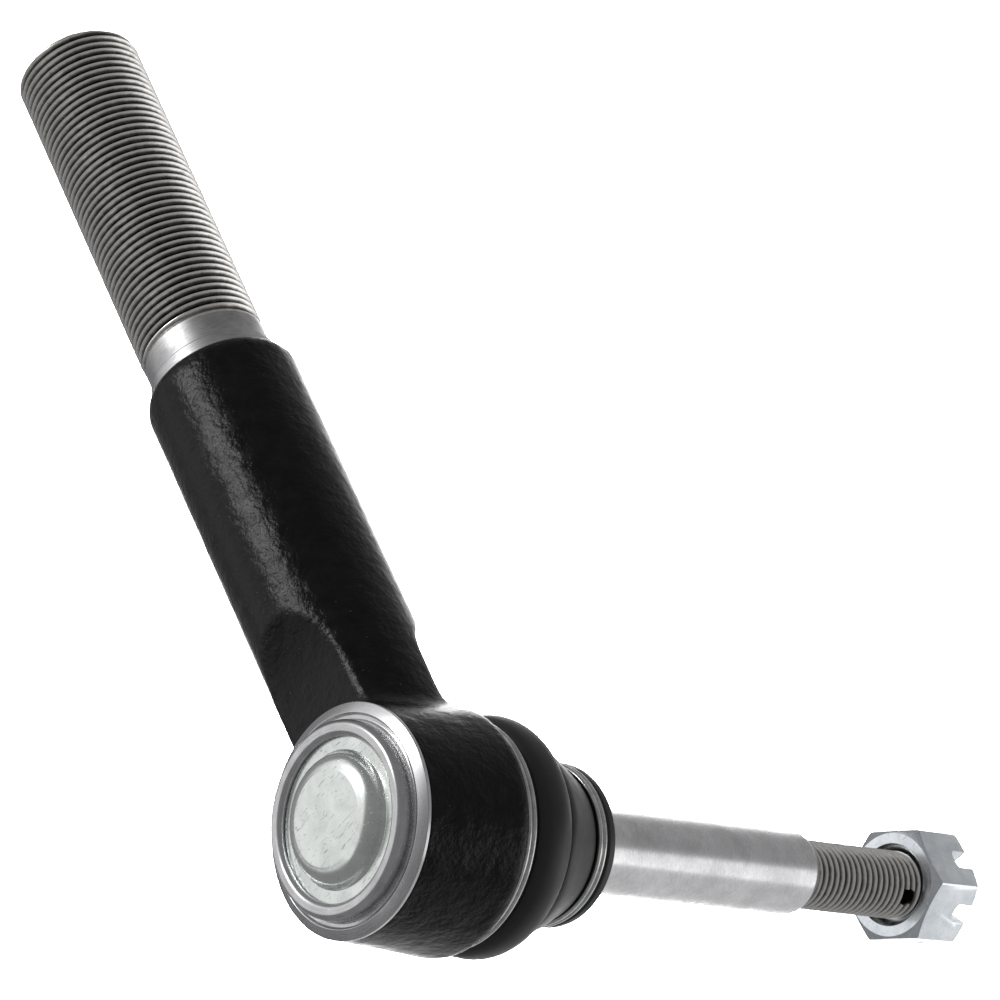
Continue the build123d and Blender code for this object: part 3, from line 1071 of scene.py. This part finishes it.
@dataclass
class BallStud:
    """Ball, tapered neck, ground shank and threaded end in one piece of steel."""

    ball_r: float = 12.5
    neck_r: float = 6.3
    shank_r: float = 7.25
    seal_land_r: float = 7.65
    shank_start: float = 33.2
    shoulder: float = 93.2
    ball_steps: int = 40
    thread_start: float = 94.0
    hole_at: float = 120.8
    hole_r: float = 1.6
    hole_turn: float = 17.0

    def body(self, layout: Layout) -> bpy.types.Object:
        """Everything but the thread, spun about the stud's axis.

        Args:
            layout: Gives the stud's axis.

        Returns:
            The piece.
        """
        reach = math.sqrt(self.ball_r ** 2 - self.neck_r ** 2)
        last = math.acos(-reach / self.ball_r)
        ball = [(self.ball_r * math.sin(last * k / self.ball_steps),
                 -self.ball_r * math.cos(last * k / self.ball_steps)) for k in range(self.ball_steps + 1)]
        ball[0] = (0.0, -self.ball_r)
        tail = rounded([
            (self.neck_r, reach, 0), (self.neck_r, 16.0, 2.0), (self.seal_land_r, 20.0, 2.0),
            (self.seal_land_r, 33.1, 0.05), (self.shank_r, self.shank_start, 0.05),
            (self.shank_r, self.shoulder, 1.2), (6.35, self.shoulder + 1.5, 0.5),
            (5.9, self.shoulder + 2.2, 0), (0, self.shoulder + 2.2, 0),
        ], closed=False)
        return turned("ball_and_shank", ball + tail[1:], layout.stud, closed=False)

    def build(self, layout: Layout, ground: bpy.types.Material, rolled: bpy.types.Material) -> None:
        """Builds and dresses the stud.

        Args:
            layout: Gives the stud's axis.
            ground: Finish of ball and shank.
            rolled: Finish of the thread.
        """
        body = keep(self.body(layout), Body.STUD, ground)
        form = Thread("stud_thread", radius=6.0, pitch=1.5, turns=24, start_r=5.0, end_r=4.9, run_out=1.1,
                      segments=72)
        thread = form.build(layout.stud, self.thread_start, rolled)
        drill = turned("drill", [(0, -9), (self.hole_r, -9), (self.hole_r, 9), (0, 9)], self.hole(layout),
                       closed=False, segments=32)
        cut(thread, drill)
        tidy_mesh(thread.data, merge=1e-6, sharp=75)
        keep(thread, Body.STUD, rolled)
        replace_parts(body, "ball_stud")

    def hole(self, layout: Layout) -> Place:
        """The split-pin hole's own axis.

        Args:
            layout: Gives the stud's axis.

        Returns:
            The place that the drill is spun about.
        """
        turn = math.radians(self.hole_turn)
        own = layout.stud.matrix().to_3x3().normalized()
        across = own @ Vector((math.cos(turn), math.sin(turn), 0))
        return OffsetPlace(across, layout.stud.along, layout.stud.along * self.hole_at)


@dataclass(frozen=True)
class OffsetPlace(Place):
    """A place whose axis doesn't pass through the frame's origin."""

    middle: Vector = Vector((0, 0, 0))

    def matrix(self) -> Matrix:
        """Matrix from local millimetres to the frame's metres."""
        return Matrix.Translation(self.middle * MM) @ super().matrix()


@dataclass
class CastleNut:
    """Slotted hexagon nut, started on the stud's thread."""

    face: float = 122.3
    height: float = 12.0
    flats: float = 19.0
    turn: float = 50.4
    bevel: float = 30.0
    sink_r: float = 7.3
    slot_width: float = 3.5
    slot_depth: float = 4.6
    clearance: float = 0.06
    minor_r: float = 5.35
    tap_start: float = -1.3

    @property
    def corner_r(self) -> float:
        """Radius to the hexagon's corners."""
        return self.flats / 2 / math.cos(math.radians(30))

    def hexagon(self) -> bpy.types.Object:
        """Plain hexagon bar with softened long edges, from its inboard face upwards.

        Returns:
            The bar, at the workbench.
        """
        work = bmesh.new()
        ends = []
        for height in (0.0, self.height):
            angles = [math.radians(self.turn + 60 * k) for k in range(6)]
            ends.append([work.verts.new((self.corner_r * math.cos(a), self.corner_r * math.sin(a), height))
                         for a in angles])
        work.faces.new(ends[0][::-1])
        work.faces.new(ends[1])
        for k in range(6):
            n = (k + 1) % 6
            work.faces.new((ends[0][k], ends[0][n], ends[1][n], ends[1][k]))
        sides = [work.edges.get((ends[0][k], ends[1][k])) for k in range(6)]
        bmesh.ops.bevel(work, geom=sides, offset=0.3, segments=2, affect="EDGES", profile=0.5)
        bmesh.ops.recalc_face_normals(work, faces=work.faces)
        return solid("castle_nut_body", work)

    def build(self, layout: Layout, plate: bpy.types.Material) -> None:
        """Cuts the nut from bar: bevels, bore, slots, thread and countersink.

        Args:
            layout: Gives the stud's axis.
            plate: Its finish.
        """
        nut = self.hexagon()
        half, top = self.flats / 2, self.height
        drop = (self.corner_r - half) * math.tan(math.radians(self.bevel)) + 0.3
        drum = [(0, 0), (half - 0.4, 0), (self.corner_r + 0.2, drop), (self.corner_r + 0.2, top - drop),
                (half - 0.4, top), (0, top)]
        cut(nut, turned("drum", drum, None, closed=False), "INTERSECT")
        bore = [(0, -1), (self.minor_r, -1), (self.minor_r, top + 1), (0, top + 1)]
        cut(nut, turned("bore", bore, None, closed=False, segments=72))
        for k in range(6):
            cut(nut, self.slot_cutter(math.radians(self.turn + 30 + 60 * k)))
        soft = nut.modifiers.new("edges", "BEVEL")
        soft.width = 0.16
        soft.segments = 2
        soft.limit_method = "ANGLE"
        soft.angle_limit = math.radians(35)
        nut.data = evaluated(nut)
        tap = Thread("tap", radius=6.0 + self.clearance, pitch=1.5, turns=10, start_r=5.0, end_r=5.0,
                     run_out=0.8, segments=72)
        cut(nut, tap.build(None, self.tap_start, None))
        sink = self.sink_r - self.minor_r
        cone = [(0, -1), (self.sink_r + 1, -1), (self.minor_r - 0.1, sink + 0.1), (0, sink + 0.1)]
        cut(nut, turned("sink", cone, None, closed=False))
        nut.data.transform(layout.stud.matrix() @ Matrix.Translation((0, 0, self.face)))
        tidy_mesh(nut.data, merge=1e-8, sharp=28)
        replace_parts(keep(nut, Body.NUT, plate), "castle_nut")

    def slot_cutter(self, angle: float) -> bpy.types.Object:
        """A bar with a rounded floor that cuts one slot, from inside the bore outwards.

        Args:
            angle: Where round the nut the slot lies, in radians.

        Returns:
            The cutter, at the workbench.
        """
        width, floor = self.slot_width / 2, self.height - self.slot_depth
        section = [(-width, self.height + 2), (-width, floor + width * 0.5)]
        section += [(-width * math.cos(a), floor + width * 0.5 * (1 - math.sin(a)))
                    for a in np.linspace(0.35, math.pi - 0.35, 8)]
        section += [(width, floor + width * 0.5), (width, self.height + 2)]
        work = bmesh.new()
        c, s = math.cos(angle), math.sin(angle)
        ends = [[work.verts.new((reach * c - across * s, reach * s + across * c, height))
                 for across, height in section] for reach in (3.2, 16.0)]
        work.faces.new(ends[0])
        work.faces.new(ends[1][::-1])
        for k in range(len(section)):
            n = (k + 1) % len(section)
            work.faces.new((ends[0][k], ends[1][k], ends[1][n], ends[0][n]))
        bmesh.ops.recalc_face_normals(work, faces=work.faces)
        return solid("slot", work)


def flowing(points: Sequence[Point], steps: int = 6) -> list[Point]:
    """Smooth curve through an outline's points, ends included.

    Args:
        points: The points to pass through.
        steps: Pieces between one point and the next.

    Returns:
        The curve's points.
    """
    spots = [np.array(p) for p in points]
    spots = [2 * spots[0] - spots[1]] + spots + [2 * spots[-1] - spots[-2]]
    outline: list[Point] = []
    for a, b, c, d in zip(spots, spots[1:], spots[2:], spots[3:]):
        for k in range(steps):
            t = k / steps
            spot = 0.5 * (2 * b + (c - a) * t + (2 * a - 5 * b + 4 * c - d) * t * t
                          + (3 * b - a - 3 * c + d) * t ** 3)
            outline.append((float(spot[0]), float(spot[1])))
    outline.append(tuple(points[-1]))
    return outline


@dataclass
class DustBoot:
    """The two-convolution rubber boot and the wound wire rings that hold it."""

    bend_from: float = 11.0
    bend_to: float = 28.0
    large_ring_r: float = 18.22
    large_ring_at: float = 7.5
    small_ring_r: float = 12.9
    small_ring_at: float = 29.7
    ring_wire: float = 0.5
    ring_pitch: float = 1.05

    def outline(self) -> list[Point]:
        """Section of the rubber: outside from the bead to the lip, then back inside.

        Returns:
            Closed list of corners, each a radius and a distance below the ball.
        """
        bead = rounded([(17.26, 6.46, 0), (18.2, 6.46, 0.3), (18.2, 9.1, 0.4), (18.8, 9.3, 0)],
                       closed=False)
        bulge = flowing([(18.8, 9.3), (19.35, 9.9), (19.85, 11.0), (20.12, 12.6), (20.05, 14.0),
                         (19.5, 15.3), (18.5, 16.4), (17.3, 17.1), (16.8, 17.35)])
        cone = flowing([(16.8, 17.35), (16.75, 17.7), (17.0, 18.3), (17.05, 19.0), (16.85, 19.8),
                        (16.25, 21.4), (15.25, 24.0), (14.2, 26.4), (13.5, 27.9), (12.88, 28.6)])
        lip = rounded([(12.88, 28.6, 0), (12.88, 30.9, 0.3), (13.75, 31.1, 0.5), (13.75, 32.9, 0.5),
                       (7.72, 32.9, 0.3), (7.72, 29.3, 0.3), (10.2, 27.8, 0)], closed=False)
        inside = flowing([(10.2, 27.8), (11.8, 27.0), (13.1, 24.9), (14.3, 21.9), (15.1, 20.0),
                          (15.35, 18.8), (15.2, 17.6), (15.9, 16.3), (17.2, 15.2), (18.2, 14.0),
                          (18.55, 12.6), (18.35, 11.4), (18.1, 10.2), (17.98, 9.5)])
        seat = [(17.98, 9.46), (17.26, 9.36)]
        return bead + bulge[1:] + cone[1:] + lip[1:] + inside[1:] + seat

    def rubber(self, layout: Layout) -> bpy.types.Object:
        """The boot, spun straight and then leant over so that it follows the stud.

        Args:
            layout: Gives the hanging axis, the stud's lean and the axis it leans about.

        Returns:
            The piece.
        """
        piece = turned("boot_rubber", self.outline(), layout.hanging, segments=160)
        for vert in piece.data.vertices:
            share = (-vert.co.z / MM - self.bend_from) / (self.bend_to - self.bend_from)
            share = min(1.0, max(0.0, share))
            turn = Matrix.Rotation(layout.lean * share * share * (3 - 2 * share), 3, layout.swing_axis)
            vert.co = turn @ vert.co
        piece.data.update()
        tidy_mesh(piece.data, sharp=50)
        return piece

    def build(self, layout: Layout, rubber: bpy.types.Material, wire: bpy.types.Material) -> None:
        """Builds and dresses the boot and its rings.

        Args:
            layout: The part's axes.
            rubber: Finish of the boot.
            wire: Finish of both rings.
        """
        boot = self.rubber(layout)
        boot.data.materials.append(rubber)
        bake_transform(boot)
        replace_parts(boot, "dust_boot")
        LOG.info("%s: %d faces", boot.name, len(boot.data.polygons))
        spread = self.ring_pitch * 2.06
        form = WireRing("ring_large_wire", self.large_ring_r + self.ring_wire, self.ring_wire, spread)
        large = form.build(layout.hanging, self.large_ring_at, wire)
        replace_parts(keep(large, Body.HOUSING, wire), "boot_ring_large")
        form = WireRing("ring_small_wire", self.small_ring_r + self.ring_wire, self.ring_wire, spread)
        small = form.build(layout.stud, self.small_ring_at, wire)
        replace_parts(keep(small, Body.BOOT_NECK, wire), "boot_ring_small")


@dataclass
class Bearing:
    """Seats and spring inside the head, whose shapes the frame already gives."""

    seats: tuple[str, ...] = ("stud_side_seat", "cover_side_seat")
    spring: str = "preload_spring"

    def dress(self, layout: Layout, acetal: bpy.types.Material, steel: bpy.types.Material) -> None:
        """Puts the finishes on the frame's own nodes.

        Args:
            layout: Where the frame's nodes are found.
            acetal: Finish of both seats.
            steel: Finish of the spring.
        """
        for name in self.seats:
            self.put(layout, name, acetal)
        self.put(layout, self.spring, steel)

    def put(self, layout: Layout, name: str, finish: bpy.types.Material) -> None:
        """Fills every material slot of one node.

        Args:
            layout: Where the frame's nodes are found.
            name: The node.
            finish: Its material.
        """
        piece = layout.nodes[name]
        if not piece.material_slots:
            piece.data.materials.append(finish)
        for holder in piece.material_slots:
            holder.material = finish
        LOG.info("%s: dressed", name)


@dataclass
class Studio:
    """Pale floor, soft lights and the camera."""

    camera_at: Corner = (-577.63, -621.61, 734.90)
    camera_turn: Corner = (10.6118, 47.9638, -122.4577)
    lens: float = 248.408
    floor_z: float = -0.75

    def softbox(self, name: str, towards: Corner, size: Point, power: float, reach: float = 1.1,
                aim: Corner = (0.05, 0.0, -0.02), spread: float = 180.0) -> None:
        """One rectangular softbox that the camera doesn't see.

        Args:
            name: Its name.
            towards: Direction in which it hangs from the part.
            size: Width and height in metres.
            power: Watts.
            reach: Distance from the part in metres.
            aim: The point it faces, in metres.
            spread: How wide it throws, in degrees.
        """
        data = bpy.data.lights.new(name, "AREA")
        data.spread = math.radians(spread)
        data.shape = "RECTANGLE"
        data.size, data.size_y = size
        data.energy = power
        lamp = link_light(name, data)
        lamp.location = Vector(aim) + Vector(towards).normalized() * reach
        lamp.rotation_euler = (Vector(aim) - lamp.location).to_track_quat("-Z", "Y").to_euler()
        lamp.visible_camera = False

    def build(self) -> None:
        """Sets the stage."""
        data = bpy.data.cameras.new("camera")
        data.lens = self.lens
        data.sensor_width = 36
        data.clip_end = 20
        camera = link_light("camera", data)
        camera.location = [c * MM for c in self.camera_at]
        camera.rotation_euler = [math.radians(a) for a in self.camera_turn]
        bpy.context.scene.camera = camera
        self.floor()
        world = bpy.data.worlds.new("studio")
        world.use_nodes = True
        world.node_tree.nodes["Background"].inputs["Color"].default_value = (0.26, 0.26, 0.265, 1)
        world.node_tree.nodes["Background"].inputs["Strength"].default_value = 1.0
        bpy.context.scene.world = world
        bpy.context.scene.view_settings.view_transform = "Standard"
        self.softbox("overhead", (0.68, 0.36, 1.0), (1.8, 1.5), 5.9, reach=1.35)
        self.softbox("key", (0.547, -0.07, 0.827), (0.4, 0.2), 3.4, reach=1.0)
        self.softbox("under", (-0.35, -0.22, -0.6), (0.3, 0.6), 0.62, reach=0.7)
        self.softbox("under_wide", (-0.33, 0.3, -0.6), (1.1, 0.6), 0.9, reach=0.72)
        self.softbox("pool", (0.2, 0.2, 1.0), (0.6, 0.6), 12.0, reach=0.9,
                     aim=(0.75, 0.63, self.floor_z), spread=50.0)

    def floor(self) -> None:
        """Pale paper floor, well below the part so that its reflection stays soft."""
        mesh = bpy.data.meshes.new("floor")
        half = 6.0
        mesh.from_pydata([(-half, -half, self.floor_z), (half, -half, self.floor_z),
                          (half, half, self.floor_z), (-half, half, self.floor_z)], [], [(0, 1, 2, 3)])
        floor = link("floor", mesh)
        paper = bpy.data.materials.new("paper_floor")
        paper.use_nodes = True
        tree = paper.node_tree
        shader = tree.nodes["Principled BSDF"]
        grain = node(tree, "ShaderNodeTexNoise", {"Scale": 300.0, "Detail": 2.0})
        tone = ramp(tree, grain.outputs["Fac"], [(0.3, linear("#f4f4f4")), (0.7, linear("#f8f8f8"))])
        tree.links.new(tone, shader.inputs["Base Color"])
        shader.inputs["Roughness"].default_value = 0.9
        floor.data.materials.append(paper)


def link_light(name: str, data: bpy.types.ID) -> bpy.types.Object:
    """Puts a lamp or camera in the scene.

    Args:
        name: The object's name.
        data: The lamp or camera.

    Returns:
        The object.
    """
    made = bpy.data.objects.new(name, data)
    bpy.context.scene.collection.objects.link(made)
    return made


def main() -> None:
    """Builds the visual model around the frame."""
    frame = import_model()
    layout = Layout.from_frame(frame)
    Studio().build()

    coat = DipCoat("black_dip_coat").build()
    rim_steel = TurnedSteel("turned_rim_steel", place=layout.head).build()
    collar_steel = TurnedSteel("turned_collar_steel", place=layout.shank, light="#c2c2c3", dark="#8c8c8d",
                              roughness=0.4).build()
    ground = TurnedSteel("ground_stud_steel", place=layout.stud, marks_depth=0.006).build()
    shank_thread = RolledThread("rolled_shank_thread", place=layout.shank, root_r=10.1, crest_r=11.0).build()
    stud_thread = RolledThread("rolled_stud_thread", place=layout.stud, root_r=5.1, crest_r=6.0).build()
    zinc = ZincPlate("bright_zinc_cover").build()
    nut_zinc = ZincPlate("bright_zinc_nut", light="#e6eaee", dark="#ccd3d8", scratches=0.25).build()
    rubber = MouldedRubber("moulded_rubber").build()
    wire = PlainStock("bright_wire").build()
    spring = PlainStock("spring_steel", light="#6a6a6c", dark="#4a4a4c", roughness=0.35).build()
    acetal = PlainStock("moulded_acetal", light="#ece8dc", dark="#e2decf", metallic=0.0,
                        roughness=0.4).build()

    Housing().build(layout, coat, rim_steel, collar_steel, shank_thread)
    CoverPlate().build(layout, zinc)
    BallStud().build(layout, ground, stud_thread)
    CastleNut().build(layout, nut_zinc)
    DustBoot().build(layout, rubber, wire)
    Bearing().dress(layout, acetal, spring)


if __name__ == "__main__":
    main()
